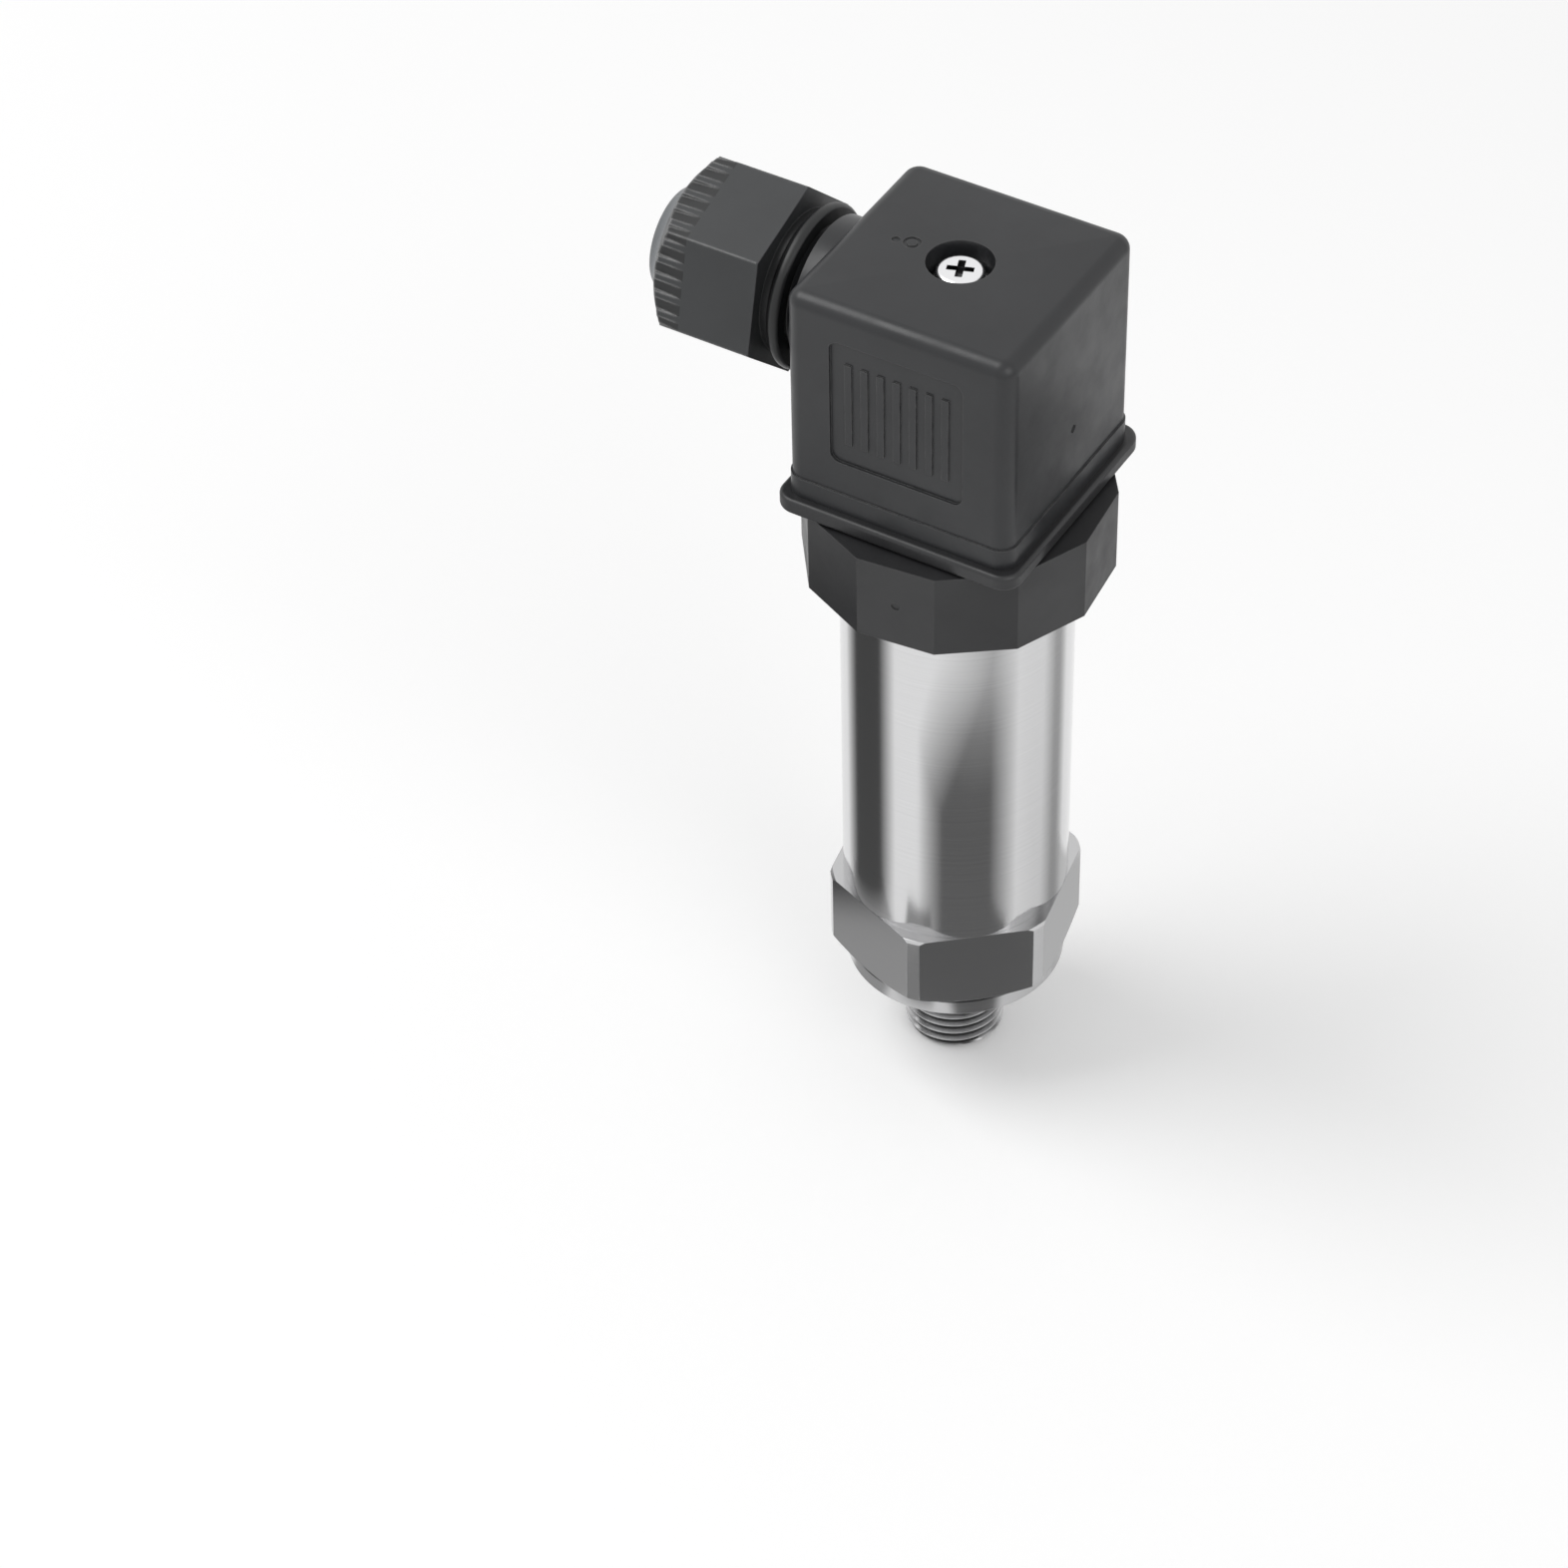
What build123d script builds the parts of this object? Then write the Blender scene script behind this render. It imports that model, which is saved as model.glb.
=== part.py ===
from build123d import *
import os
from math import cos, radians, sin, tan

os.makedirs("parts", exist_ok=True)

# Pressure transmitter with a screwed-on connector head, in millimetres.
# The origin is the centre of the sealing shoulder: the process thread points down, -Z,
# and the cable gland points to -X.

# Main widths: the tube's diameter sets the others
tube_d = 27.0
hex_af = tube_d
collar_rise = 0.75
collar_d = tube_d + 2 * collar_rise
plug_rise = 0.5
plug_w = tube_d + 2 * plug_rise

# Process connection
thread_d = 12.0
thread_length = 14.0
thread_end_chamfer = 1.0
relief_d = 10.0
relief_length = 2.4
port_d = 4.0
port_funnel_rise = 1.0
port_funnel_margin = 1.0
shoulder_step = 0.3
shoulder_d = hex_af - 2 * shoulder_step
shoulder_t = 2.4
shoulder_groove_w = 0.5
shoulder_groove_depth = 0.5
hex_corner_rise = 1.65
hex_corner_d = hex_af + 2 * hex_corner_rise
hex_t = 10.8
hex_turn = 40.2
hex_bevel_angle = 30.0
hex_top_break = 0.3

# Tube
tube_wall = 1.2
tube_length = 56.4
collar_length = 6.2
collar_break = 0.4
spigot_clearance = 0.05
spigot_length = 8.8

# Pressure sensor
capsule_inset = 4.0
capsule_d = tube_d - 2 * capsule_inset
capsule_t = 14.0
capsule_clearance = 0.05
capsule_seat_z = 6.0
diaphragm_margin = 1.5
diaphragm_d = capsule_d - 2 * diaphragm_margin
diaphragm_recess = 0.5
corrugation_w = 0.8
seal_w = 2.0
seal_depth = 1.3
seal_height = 3.0
lock_ring_t = 2.0
lock_ring_w = 3.5
lock_ring_bore_d = capsule_d - 2 * lock_ring_w
lock_slot_w = 2.0
lock_slot_depth = 1.0
pin_d = 0.6
pin_length = 4.0
pin_circle_d = 7.0
pin_count = 5
lead_d = 0.7
lead_gap = 0.2
lead_board_gap = 0.45
lead_overlap = 2.0

# Connector base
base_overhang = 1.2
base_half = plug_w / 2 + base_overhang
base_t = 2.0
base_corner_r = 2.4
base_edge_r = 0.5
neck_inset = 2.0
neck_d = tube_d - 2 * neck_inset
web_t = 10.0
skirt_length = 4.0
skirt_wall = 1.3
skirt_bore_d = neck_d - 2 * skirt_wall
ring_t = 1.9
ring_groove_depth = 1.1
ring_groove_d = neck_d - 2 * ring_groove_depth
ring_inset = 0.35
ring_d = collar_d - 2 * ring_inset
ring_gap = 4.0
base_seal_w = 2.0
base_seal_depth = 1.0
base_seal_clearance = 0.1
base_seal_rise = 1.5
pedestal_inset = 3.5
pedestal_w = plug_w - 2 * pedestal_inset
pedestal_corner_r = 2.0
pedestal_t = 3.5
pillar_d = 8.0
pillar_rise = 1.5
insert_d = 5.0
insert_length = 11.0
insert_relief = 1.0
insert_knurl_count = 16
insert_knurl_depth = 0.15

# Contact blades, in two crossed pairs
blade_w = 6.3
blade_t = 0.8
blade_inset = 5.0
blade_spacing = plug_w - 2 * blade_inset
blade_height = 9.0
blade_tip_w = 3.5
blade_tip_length = 1.2
blade_tail_w = 1.2
blade_tail_length = 2.5
blade_slot_clearance = 0.03

# Circuit board
board_inset = 2.7
board_w = skirt_bore_d - 2 * board_inset
board_t = 1.6
board_z0 = 30.0
board_chamfer = 0.8
board_top_gap = 0.2
rib_inset = 1.5
rib_w = board_w - 2 * rib_inset
rib_t = 1.2
rib_length = 5.0
rib_clearance = 0.05
wire_d = 0.9
wire_gap = 0.35
wire_drop = 7.0
trimmer_w = 6.4
trimmer_h = 4.6
trimmer_x = 3.6
trimmer_rise = 8.0
front_chip_w = 7.2
front_chip_h = 1.2
front_chip_rise = 20.0
back_chip_w = 9.9
back_chip_l = 5.0
back_chip_h = 1.6
back_chip_rise = 15.0
capacitor_d = 4.8
capacitor_h = 5.4
capacitor_x = 3.5
capacitor_rise = 22.5

# Union nut
nut_sides = 12
nut_wall = 3.125
nut_af = collar_d + 2 * nut_wall
nut_t = 10.8
nut_lip_t = 1.3
nut_turn = 21.0
nut_gap = 0.2
nut_bevel = 0.3
nut_dot_face = 3.5
nut_bore_clearance = 0.05
nut_lip_clearance = 0.08
nut_notch_w = 3.0
nut_notch_depth = 0.8
nut_notch_count = 3
nut_mouth_chamfer = 0.5

# Plug housing
plug_h = 27.8
plug_corner_r = 2.0
plug_top_r = 1.7
plug_wall = 1.8
plug_roof_t = 2.5
skirt_proud = 0.2
skirt_h = 2.7
panel_inset = 5.75
panel_w = plug_w - 2 * panel_inset
panel_z = 15.2
panel_corner_r = 1.2
panel_depth = 0.35
panel_rib_w = 0.9
panel_rib_h = 11.0
panel_rib_rise = 0.2
panel_rib_count = 7
panel_rib_pitch = 2.0
screw_hole_d = 7.6
screw_hole_depth = 3.5
screw_boss_d = 10.6
screw_boss_drop = 8.3
mark_d = 1.0
mark_depth = 0.15
dot_mark_x = -8.0
ring_mark_d = 2.0
ring_mark_w = 0.4
ring_mark_x = -6.2
ring_mark_y = 0.4
side_mark_y = 0.44
side_mark_rise = 10.0

# Flat gasket between plug and base
gasket_t = 1.2
gasket_clearance = 0.1

# Terminal insert inside the plug
carrier_gap = 0.15
carrier_plate_t = 5.3
carrier_column_d = 6.8
carrier_slot_clearance = 0.15
tower_w = 8.4
tower_t = 4.4
clip_leaf_t = 0.5
clip_gap = 0.3
clip_rise = 0.4
clip_block_h = 2.2
clip_block_t = 4.0
terminal_head_d = 4.4
terminal_head_t = 1.6
terminal_slot_w = 0.7
terminal_slot_depth = 0.7
terminal_slot_turn = 30.0

# Central screw
screw_d = 3.0
screw_clearance = 0.05
screw_head_d = 5.5
screw_head_t = 2.2
screw_head_r = 0.6
screw_washer_t = 0.4
screw_washer_d = 6.6
screw_reach = 11.5
screw_tip_chamfer = 0.4
recess_w = 0.8
recess_span = 3.0
recess_depth = 1.0
recess_turn = 20.0

# Cable gland
gland_z = 17.5
outlet_neck_d = 17.8
outlet_neck_length = 2.4
outlet_thread_d = 15.2
outlet_thread_length = 10.6
outlet_bore_d = 11.2
gland_seal_d = 12.6
gland_seal_length = 7.5
gland_seal_clearance = 0.05
gland_seal_proud = 0.4
cable_bore_d = 7.0
slip_ring_t = 0.8
slip_ring_d = 14.4
slip_ring_bore_d = 9.2
gland_nut_corner_r = 11.39
gland_nut_turn = 76.9
gland_nut_hex_t = 11.5
gland_nut_back = 6.47
gland_nut_collar_d = 19.3
gland_nut_collar_t = 2.9
gland_nut_clearance = 0.08
gland_mouth_d = 8.8
gland_mouth_chamfer = 0.6
gland_lip = 1.0
gland_throat_d = 11.2
nose_length = 4.2
nose_cone_length = 1.5
dome_base_d = 18.9
dome_end_d = 12.0
dome_r = 4.15
grip_length = 2.4
grip_fall = 0.8
grip_rib_count = 5
grip_rib_pitch = 2.15
grip_rib_w = 0.5
grip_rib_h = 1.2

# How far a cutting shape reaches past the piece it cuts
cutter_over = 1.0

# Levels along the axis that follow from the sizes above
hex_z0 = shoulder_t
hex_z1 = hex_z0 + hex_t
spigot_top = hex_z1 + spigot_length
tube_top = hex_z1 + tube_length
ring_z1 = tube_top + ring_t
nut_z1 = ring_z1 + nut_lip_t
nut_z0 = nut_z1 - nut_t
base_z0 = nut_z1 + nut_gap
base_z1 = base_z0 + base_t
web_z0 = base_z1 - web_t
pedestal_z1 = base_z1 + pedestal_t
pillar_z1 = pedestal_z1 + pillar_rise
blade_top = pedestal_z1 + blade_height
plug_z0 = base_z1
plug_z1 = plug_z0 + plug_h
capsule_z1 = capsule_seat_z + capsule_t
pin_top = capsule_z1 + pin_length
carrier_z0 = pedestal_z1 + carrier_gap
carrier_z1 = carrier_z0 + carrier_plate_t
block_z0 = blade_top + clip_rise
block_z1 = block_z0 + clip_block_h
screw_seat_z = plug_z1 - screw_hole_depth + screw_washer_t
screw_length = screw_seat_z - pillar_z1 + screw_reach
cavity_top = plug_z1 - plug_roof_t
boss_z0 = cavity_top - screw_boss_drop
cavity_half = plug_w / 2 - plug_wall
gland_axis_z = plug_z0 + gland_z


def tool_plane(point, direction):
    """A sketch plane at a point, facing along a direction."""
    return Plane(origin=point, z_dir=direction)


def blade_places():
    """The four contact places, as (x, y, turn): two on the X axis and two on the Y axis."""
    reach = blade_spacing / 2
    return [(reach, 0, 90), (-reach, 0, 90), (0, reach, 0), (0, -reach, 0)]


# Process fitting: hexagon bar turned down at its corners, with shoulder, thread and sensor pocket
with BuildPart() as process_fitting:
    with BuildSketch(Plane.XY.offset(hex_z0)):
        RegularPolygon(hex_af / 2, 6, major_radius=False, rotation=hex_turn)
    extrude(amount=hex_t)
    bevel_rise = (hex_corner_d - shoulder_d) / 2 * tan(radians(hex_bevel_angle))
    with BuildSketch(Plane.XZ):
        with BuildLine():
            Polyline(
                (0, hex_z0),
                (shoulder_d / 2, hex_z0),
                (hex_corner_d / 2, hex_z0 + bevel_rise),
                (hex_corner_d / 2, hex_z1 - hex_top_break),
                (hex_corner_d / 2 - hex_top_break, hex_z1),
                (0, hex_z1),
                close=True,
            )
        make_face()
    revolve(axis=Axis.Z, mode=Mode.INTERSECT)
    relief_slope = (thread_d - relief_d) / 2
    groove_z0 = shoulder_t - shoulder_groove_w
    groove_r = shoulder_d / 2 - shoulder_groove_depth
    spigot_r = tube_d / 2 - tube_wall - spigot_clearance
    with BuildSketch(Plane.XZ):
        with BuildLine():
            Polyline(
                (0, -thread_length),
                (thread_d / 2 - thread_end_chamfer, -thread_length),
                (thread_d / 2, -thread_length + thread_end_chamfer),
                (thread_d / 2, -relief_length - relief_slope),
                (relief_d / 2, -relief_length),
                (relief_d / 2, 0),
                (shoulder_d / 2, 0),
                (shoulder_d / 2, groove_z0),
                (groove_r, groove_z0),
                (groove_r, hex_z1),
                (spigot_r, hex_z1),
                (spigot_r, spigot_top),
                (0, spigot_top),
                close=True,
            )
        make_face()
    revolve(axis=Axis.Z)
    pocket_r = capsule_d / 2 + capsule_clearance
    with BuildSketch(Plane.XZ):
        with BuildLine():
            Polyline(
                (0, -thread_length),
                (port_d / 2, -thread_length),
                (port_d / 2, capsule_seat_z - port_funnel_rise),
                (diaphragm_d / 2 - port_funnel_margin, capsule_seat_z),
                (pocket_r, capsule_seat_z),
                (pocket_r, spigot_top),
                (0, spigot_top),
                close=True,
            )
        make_face()
    revolve(axis=Axis.Z, mode=Mode.SUBTRACT)
process_fitting.part.label = "process_fitting"
export_step(process_fitting.part, "parts/process_fitting.step")

# Polished tube, with a threaded collar at its top for the union nut
with BuildPart() as housing_tube:
    with BuildSketch(Plane.XZ):
        with BuildLine():
            Polyline(
                (tube_d / 2 - tube_wall, hex_z1),
                (tube_d / 2, hex_z1),
                (tube_d / 2, tube_top - collar_length),
                (collar_d / 2 - collar_break, tube_top - collar_length),
                (collar_d / 2, tube_top - collar_length + collar_break),
                (collar_d / 2, tube_top - collar_break),
                (collar_d / 2 - collar_break, tube_top),
                (tube_d / 2 - tube_wall, tube_top),
                close=True,
            )
        make_face()
    revolve(axis=Axis.Z)
housing_tube.part.label = "housing_tube"
export_step(housing_tube.part, "parts/housing_tube.step")

# Oil-filled sensor capsule, with a corrugated diaphragm below and a seal groove round it
with BuildPart() as sensor_capsule:
    with BuildSketch(Plane.XZ):
        with BuildLine():
            Polyline(
                (0, capsule_seat_z + diaphragm_recess),
                (diaphragm_d / 4, capsule_seat_z + diaphragm_recess),
                (diaphragm_d / 4 + corrugation_w / 2, capsule_seat_z + diaphragm_recess / 2),
                (diaphragm_d / 4 + corrugation_w, capsule_seat_z + diaphragm_recess),
                (diaphragm_d / 2, capsule_seat_z + diaphragm_recess),
                (diaphragm_d / 2, capsule_seat_z),
                (capsule_d / 2, capsule_seat_z),
                (capsule_d / 2, capsule_seat_z + seal_height),
                (capsule_d / 2 - seal_depth, capsule_seat_z + seal_height),
                (capsule_d / 2 - seal_depth, capsule_seat_z + seal_height + seal_w),
                (capsule_d / 2, capsule_seat_z + seal_height + seal_w),
                (capsule_d / 2, capsule_z1),
                (0, capsule_z1),
                close=True,
            )
        make_face()
    revolve(axis=Axis.Z)
sensor_capsule.part.label = "sensor_capsule"
export_step(sensor_capsule.part, "parts/sensor_capsule.step")

# Seal ring in the capsule's groove
with BuildPart() as capsule_seal:
    with BuildSketch(Plane.XZ):
        with Locations((capsule_d / 2 - seal_depth / 2, capsule_seat_z + seal_height + seal_w / 2)):
            Rectangle(seal_depth, seal_w)
    revolve(axis=Axis.Z)
capsule_seal.part.label = "capsule_seal"
export_step(capsule_seal.part, "parts/capsule_seal.step")

# Slotted ring that holds the capsule down
with BuildPart() as capsule_lock_ring:
    with BuildSketch(Plane.XY.offset(capsule_z1)):
        Circle(capsule_d / 2)
        Circle(lock_ring_bore_d / 2, mode=Mode.SUBTRACT)
    extrude(amount=lock_ring_t)
    with BuildSketch(Plane.XY.offset(capsule_z1 + lock_ring_t)):
        Rectangle(capsule_d + cutter_over, lock_slot_w)
    extrude(amount=-lock_slot_depth, mode=Mode.SUBTRACT)
capsule_lock_ring.part.label = "capsule_lock_ring"
export_step(capsule_lock_ring.part, "parts/capsule_lock_ring.step")

# Contact pins on top of the capsule
with BuildPart() as sensor_pins:
    with BuildSketch(Plane.XY.offset(capsule_z1)):
        with PolarLocations(pin_circle_d / 2, pin_count):
            Circle(pin_d / 2)
    extrude(amount=pin_length)
sensor_pins.part.label = "sensor_pins"
export_step(sensor_pins.part, "parts/sensor_pins.step")

# Thin leads from the pins to the foot of the circuit board, bent to either face of it
with BuildPart() as sensor_leads:
    for number in range(pin_count):
        angle = radians(360 / pin_count * number)
        side = 1 if number in (0, 1, 2) else -1
        start = Vector(pin_circle_d / 2 * cos(angle), pin_circle_d / 2 * sin(angle), pin_top + lead_gap)
        foot_y = side * (board_t / 2 + lead_d / 2 + lead_board_gap)
        end = Vector(pin_circle_d / 2 * cos(angle), foot_y, board_z0 + lead_overlap)
        with BuildSketch(tool_plane(start, end - start)):
            Circle(lead_d / 2)
        extrude(amount=(end - start).length)
sensor_leads.part.label = "sensor_leads"
export_step(sensor_leads.part, "parts/sensor_leads.step")

# Moulded connector base: square flange, round neck through the nut, pedestal and screw pillar
with BuildPart() as connector_base:
    with BuildSketch(Plane.XY.offset(base_z0)):
        RectangleRounded(2 * base_half, 2 * base_half, base_corner_r)
    extrude(amount=base_t)
    fillet(connector_base.faces().sort_by(Axis.Z)[-1].edges(), base_edge_r)
    fillet(connector_base.faces().sort_by(Axis.Z)[0].edges(), base_edge_r)
    seal_z0 = web_z0 + base_seal_rise
    seal_z1 = seal_z0 + base_seal_w
    with BuildSketch(Plane.XZ):
        with BuildLine():
            Polyline(
                (0, web_z0),
                (skirt_bore_d / 2, web_z0),
                (skirt_bore_d / 2, web_z0 - skirt_length),
                (neck_d / 2, web_z0 - skirt_length),
                (neck_d / 2, seal_z0),
                (neck_d / 2 - base_seal_depth, seal_z0),
                (neck_d / 2 - base_seal_depth, seal_z1),
                (neck_d / 2, seal_z1),
                (neck_d / 2, tube_top),
                (ring_groove_d / 2, tube_top),
                (ring_groove_d / 2, ring_z1),
                (neck_d / 2, ring_z1),
                (neck_d / 2, base_z0 + base_t / 2),
                (0, base_z0 + base_t / 2),
                close=True,
            )
        make_face()
    revolve(axis=Axis.Z)
    with BuildSketch(Plane.XY.offset(base_z1)):
        RectangleRounded(pedestal_w, pedestal_w, pedestal_corner_r)
    extrude(amount=pedestal_t)
    with BuildSketch(Plane.XY.offset(pedestal_z1)):
        Circle(pillar_d / 2)
    extrude(amount=pillar_rise)
    with BuildSketch(Plane.XY.offset(pillar_z1)):
        Circle(insert_d / 2)
    extrude(amount=-(insert_length + insert_relief), mode=Mode.SUBTRACT)
    with BuildSketch(Plane.XY.offset(pedestal_z1)):
        for x, y, turn in blade_places():
            with Locations(Location((x, y, 0), (0, 0, turn))):
                Rectangle(blade_w + 2 * blade_slot_clearance, blade_t + 2 * blade_slot_clearance)
    extrude(amount=-(pedestal_z1 - web_z0), mode=Mode.SUBTRACT)
    rib_offset = board_t / 2 + rib_clearance + rib_t / 2
    with BuildSketch(Plane.XY.offset(web_z0)):
        with Locations((0, rib_offset), (0, -rib_offset)):
            Rectangle(rib_w, rib_t)
    extrude(amount=-rib_length)
connector_base.part.label = "connector_base"
export_step(connector_base.part, "parts/connector_base.step")

# Spring ring in the neck's groove, which holds the nut on the base and rests on the tube
with BuildPart() as base_retaining_ring:
    with BuildSketch(Plane.XY.offset(tube_top)):
        Circle(ring_d / 2)
        Circle(ring_groove_d / 2, mode=Mode.SUBTRACT)
        with Locations((-ring_d / 2, 0)):
            Rectangle(ring_d, ring_gap, mode=Mode.SUBTRACT)
    extrude(amount=ring_t)
base_retaining_ring.part.label = "base_retaining_ring"
export_step(base_retaining_ring.part, "parts/base_retaining_ring.step")

# Seal ring between the base's neck and the tube's bore
with BuildPart() as base_seal:
    seal_outer = tube_d / 2 - tube_wall - base_seal_clearance
    seal_inner = neck_d / 2 - base_seal_depth
    with BuildSketch(Plane.XZ):
        with Locations(((seal_outer + seal_inner) / 2, (seal_z0 + seal_z1) / 2)):
            Rectangle(seal_outer - seal_inner, base_seal_w)
    revolve(axis=Axis.Z)
base_seal.part.label = "base_seal"
export_step(base_seal.part, "parts/base_seal.step")

# Brass screw insert in the base's pillar, knurled outside
with BuildPart() as screw_insert:
    with BuildSketch(Plane.XY.offset(pillar_z1 - insert_length)):
        Circle(insert_d / 2)
        Circle(screw_d / 2 + screw_clearance, mode=Mode.SUBTRACT)
        with PolarLocations(insert_d / 2, insert_knurl_count):
            Circle(insert_knurl_depth, mode=Mode.SUBTRACT)
    extrude(amount=insert_length)
screw_insert.part.label = "screw_insert"
export_step(screw_insert.part, "parts/screw_insert.step")

# Contact blades: chamfered tip above the pedestal, narrow tail below the web
blade_names = ["contact_blade_1", "contact_blade_2", "contact_blade_3", "ground_blade"]
for blade_name, (x, y, turn) in zip(blade_names, blade_places()):
    face_dir = Vector(cos(radians(turn)), sin(radians(turn)), 0)
    blade_plane = Plane(origin=(x, y, 0), x_dir=face_dir, z_dir=Vector(0, 0, 1).cross(face_dir) * -1)
    with BuildPart() as blade:
        with BuildSketch(blade_plane):
            with BuildLine():
                Polyline(
                    (-blade_tail_w / 2, web_z0 - blade_tail_length),
                    (blade_tail_w / 2, web_z0 - blade_tail_length),
                    (blade_tail_w / 2, web_z0),
                    (blade_w / 2, web_z0),
                    (blade_w / 2, blade_top - blade_tip_length),
                    (blade_tip_w / 2, blade_top),
                    (-blade_tip_w / 2, blade_top),
                    (-blade_w / 2, blade_top - blade_tip_length),
                    (-blade_w / 2, web_z0),
                    (-blade_tail_w / 2, web_z0),
                    close=True,
                )
            make_face()
        extrude(amount=blade_t / 2, both=True)
    blade.part.label = blade_name
    export_step(blade.part, f"parts/{blade_name}.step")

# Circuit board, held between the base's ribs
with BuildPart() as circuit_board:
    board_z1 = web_z0 - board_top_gap
    with BuildSketch(Plane.XZ):
        with Locations((0, (board_z0 + board_z1) / 2)):
            Rectangle(board_w, board_z1 - board_z0)
    extrude(amount=board_t / 2, both=True)
    chamfer(circuit_board.edges().filter_by(Axis.Y), board_chamfer)
circuit_board.part.label = "circuit_board"
export_step(circuit_board.part, "parts/circuit_board.step")

# Components on the two faces of the board: two trimmers, two chips and two capacitors
with BuildPart() as board_components:
    board_front = Plane.XZ.offset(board_t / 2)
    board_back = Plane.XZ.offset(-board_t / 2)
    with BuildSketch(board_front):
        with Locations((-trimmer_x, board_z0 + trimmer_rise), (trimmer_x, board_z0 + trimmer_rise)):
            Rectangle(trimmer_w, trimmer_w)
    extrude(amount=trimmer_h)
    with BuildSketch(board_front):
        with Locations((0, board_z0 + front_chip_rise)):
            Rectangle(front_chip_w, front_chip_w)
    extrude(amount=front_chip_h)
    with BuildSketch(board_back):
        with Locations((0, board_z0 + back_chip_rise)):
            Rectangle(back_chip_w, back_chip_l)
    extrude(amount=-back_chip_h)
    with BuildSketch(board_back):
        with Locations((-capacitor_x, board_z0 + capacitor_rise), (capacitor_x, board_z0 + capacitor_rise)):
            Circle(capacitor_d / 2)
    extrude(amount=-capacitor_h)
board_components.part.label = "board_components"
export_step(board_components.part, "parts/board_components.step")

# Short wires from the blades' tails to the board
with BuildPart() as connector_leads:
    tail_z = web_z0 - blade_tail_length
    for x, y, turn in blade_places():
        start = Vector(x, y, tail_z - wire_gap)
        reach = (board_w if x else board_t) / 2 + wire_d / 2 + wire_gap
        end = Vector(x, y, 0).normalized() * reach + Vector(0, 0, tail_z - wire_drop)
        with BuildSketch(tool_plane(start, end - start)):
            Circle(wire_d / 2)
        extrude(amount=(end - start).length)
connector_leads.part.label = "connector_leads"
export_step(connector_leads.part, "parts/connector_leads.step")

# Twelve-sided union nut, with a lip above that pulls the base down on the tube
with BuildPart() as union_nut:
    nut_apothem = nut_af / 2
    nut_corner_r = nut_apothem / cos(radians(180 / nut_sides))
    with BuildSketch(Plane.XY.offset(nut_z0)):
        RegularPolygon(nut_apothem, nut_sides, major_radius=False, rotation=nut_turn)
    extrude(amount=nut_t)
    with BuildSketch(Plane.XZ):
        with BuildLine():
            Polyline(
                (0, nut_z0),
                (nut_corner_r - nut_bevel, nut_z0),
                (nut_corner_r, nut_z0 + nut_bevel),
                (nut_corner_r, nut_z1 - nut_bevel),
                (nut_corner_r - nut_bevel, nut_z1),
                (0, nut_z1),
                close=True,
            )
        make_face()
    revolve(axis=Axis.Z, mode=Mode.INTERSECT)
    nut_bore_r = collar_d / 2 + nut_bore_clearance
    with BuildSketch(Plane.XZ):
        with BuildLine():
            Polyline(
                (0, nut_z0),
                (nut_bore_r + nut_mouth_chamfer, nut_z0),
                (nut_bore_r, nut_z0 + nut_mouth_chamfer),
                (nut_bore_r, ring_z1),
                (neck_d / 2 + nut_lip_clearance, ring_z1),
                (neck_d / 2 + nut_lip_clearance, nut_z1),
                (0, nut_z1),
                close=True,
            )
        make_face()
    revolve(axis=Axis.Z, mode=Mode.SUBTRACT)
    with BuildSketch(Plane.XY.offset(nut_z0)):
        with PolarLocations(nut_bore_r, nut_notch_count, start_angle=nut_turn):
            Rectangle(2 * nut_notch_depth, nut_notch_w)
    extrude(amount=nut_notch_depth, mode=Mode.SUBTRACT)
    dot_face = radians(nut_turn - nut_dot_face * 360 / nut_sides)
    dot_normal = Vector(cos(dot_face), sin(dot_face), 0)
    dot_centre = dot_normal * nut_apothem + Vector(0, 0, (nut_z0 + nut_z1) / 2)
    with BuildSketch(tool_plane(dot_centre, dot_normal)):
        Circle(mark_d / 2)
    extrude(amount=-mark_depth, mode=Mode.SUBTRACT)
union_nut.part.label = "union_nut"
export_step(union_nut.part, "parts/union_nut.step")

# Flat gasket round the pedestal, under the plug
with BuildPart() as flat_gasket:
    gasket_outer = 2 * (cavity_half - gasket_clearance)
    gasket_inner = pedestal_w + 2 * gasket_clearance
    with BuildSketch(Plane.XY.offset(base_z1)):
        RectangleRounded(gasket_outer, gasket_outer, pedestal_corner_r)
        RectangleRounded(gasket_inner, gasket_inner, pedestal_corner_r, mode=Mode.SUBTRACT)
    extrude(amount=gasket_t)
flat_gasket.part.label = "flat_gasket"
export_step(flat_gasket.part, "parts/flat_gasket.step")

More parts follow.
